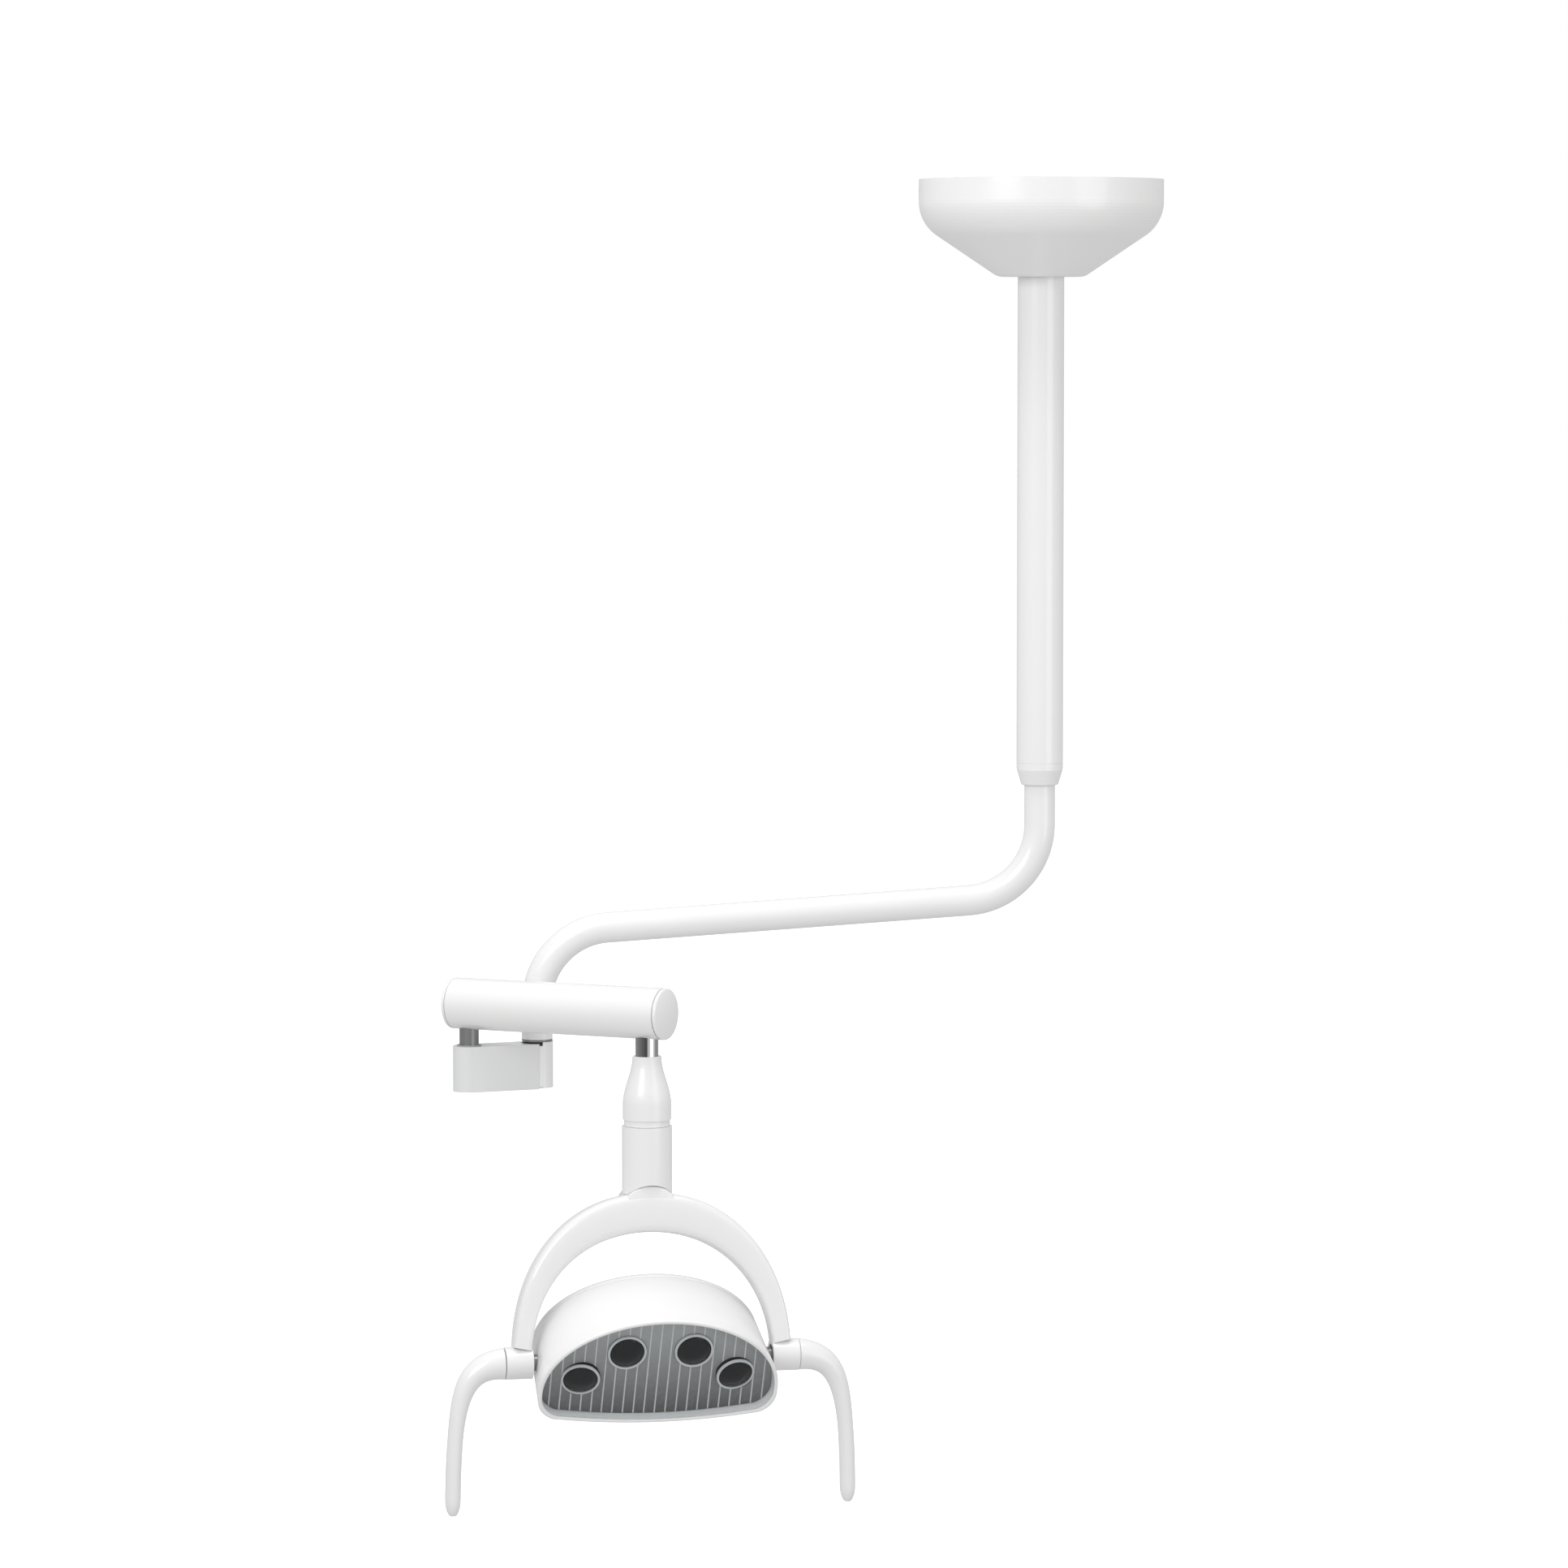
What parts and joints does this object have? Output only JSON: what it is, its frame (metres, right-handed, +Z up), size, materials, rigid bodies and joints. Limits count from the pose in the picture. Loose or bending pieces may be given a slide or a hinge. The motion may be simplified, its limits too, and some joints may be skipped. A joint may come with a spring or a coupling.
{
  "type": "dental operating light",
  "caption": "Ceiling-mounted dental operating light: round canopy and column, bent swivel boom, folding link and arm, and a D-shaped lamp head tilting in an arched yoke with side handles.",
  "frame": {"origin": "centre of the ceiling plate's upper face, which lies against the ceiling, on the column's axis", "axes": "+Z up along the column, out of the ceiling plate's upper face; the boom reaches towards -X; the lamp's front looks towards -Y, downwards and a little towards +X"},
  "size_m": [0.886, 0.4261, 1.6121],
  "materials": {
    "white_paint": "gloss",
    "white_plastic": "gloss",
    "grey_cover": "semi-gloss",
    "bright_steel": "satin",
    "chrome": "polished",
    "zinc": "zinc plated",
    "cast": "machined",
    "alloy": "satin",
    "brass": "machined",
    "bush": "matt",
    "grey_ring": "satin",
    "dark_plate": "gloss",
    "clear": "polished",
    "lens": "gloss",
    "lens_ring": "satin",
    "board": "matt",
    "ivory": "matt"
  },
  "bodies": {
    "column": {"ceiling_plate": "zinc", "flange_bolts": "bright_steel", "column_tube": "white_paint", "canopy": "white_plastic", "canopy_screws": "bright_steel", "power_supply": "alloy", "terminal_block": "ivory", "supply_screws": "bright_steel", "bearing_sleeve": "bright_steel", "column_bushes": "bush", "thrust_washer": "brass", "collar": "white_plastic", "brake_screw": "bright_steel"},
    "boom": {"boom_tube": "white_paint", "boom_lock_ring": "bright_steel", "boom_lock_pin": "bright_steel", "boom_foot": "bright_steel", "foot_nut": "bright_steel"},
    "link": {"link_bar": "white_paint", "link_cover": "grey_cover", "link_base": "grey_cover", "link_cap": "grey_cover", "link_bushes": "bush", "base_screws": "bright_steel", "post_ring": "grey_ring", "arm_post": "bright_steel", "post_nut": "zinc"},
    "arm": {"arm_tube": "white_paint", "arm_cap_left": "white_plastic", "arm_cap_right": "white_plastic", "post_block": "cast", "stem_block": "cast", "post_bushes": "bush", "block_screws": "zinc", "lamp_stem": "chrome", "stem_nuts": "zinc", "neck_cone": "white_plastic", "swivel_ring": "white_plastic"},
    "yoke": {"swivel_housing": "alloy", "swivel_bushes": "bush", "neck_shell": "white_plastic", "yoke_core": "zinc", "yoke_front": "white_plastic", "yoke_rear": "white_plastic", "yoke_hubs": "white_plastic", "tilt_bushes": "bush", "core_screws": "bright_steel"},
    "head": {"head_shell": "white_plastic", "rear_cover": "white_plastic", "front_cover": "clear", "reflector_plate": "dark_plate", "lenses": "lens", "lens_rings": "lens_ring", "led_modules": "bush", "head_frame": "zinc", "heat_sink": "alloy", "driver_board": "board", "pivot_shafts": "bright_steel", "handle_left": "white_plastic", "handle_right": "white_plastic"}
  },
  "joints": [
    {"name": "boom_swivel", "type": "hinge", "parent": "column", "child": "boom", "pos_m": [0, 0, -0.65], "axis": [0, 0, 1], "range_deg": [-165, 165]},
    {"name": "link_swivel", "type": "hinge", "parent": "boom", "child": "link", "pos_m": [-0.62, 0, -1.083], "axis": [0, 0, 1], "range_deg": [-160, 160]},
    {"name": "arm_swivel", "type": "hinge", "parent": "link", "child": "arm", "pos_m": [-0.70222, -0.03661, -1.02], "axis": [0, 0, 1], "range_deg": [-250, 14]},
    {"name": "lamp_swivel", "type": "hinge", "parent": "arm", "child": "yoke", "pos_m": [-0.48125, -0.1492, -1.174], "axis": [0, 0, 1], "range_deg": [-165, 165]},
    {"name": "head_tilt", "type": "hinge", "parent": "yoke", "child": "head", "pos_m": [-0.47543, -0.17658, -1.42805], "axis": [0.9781, 0.2079, 0], "range_deg": [-50, 60]}
  ]
}
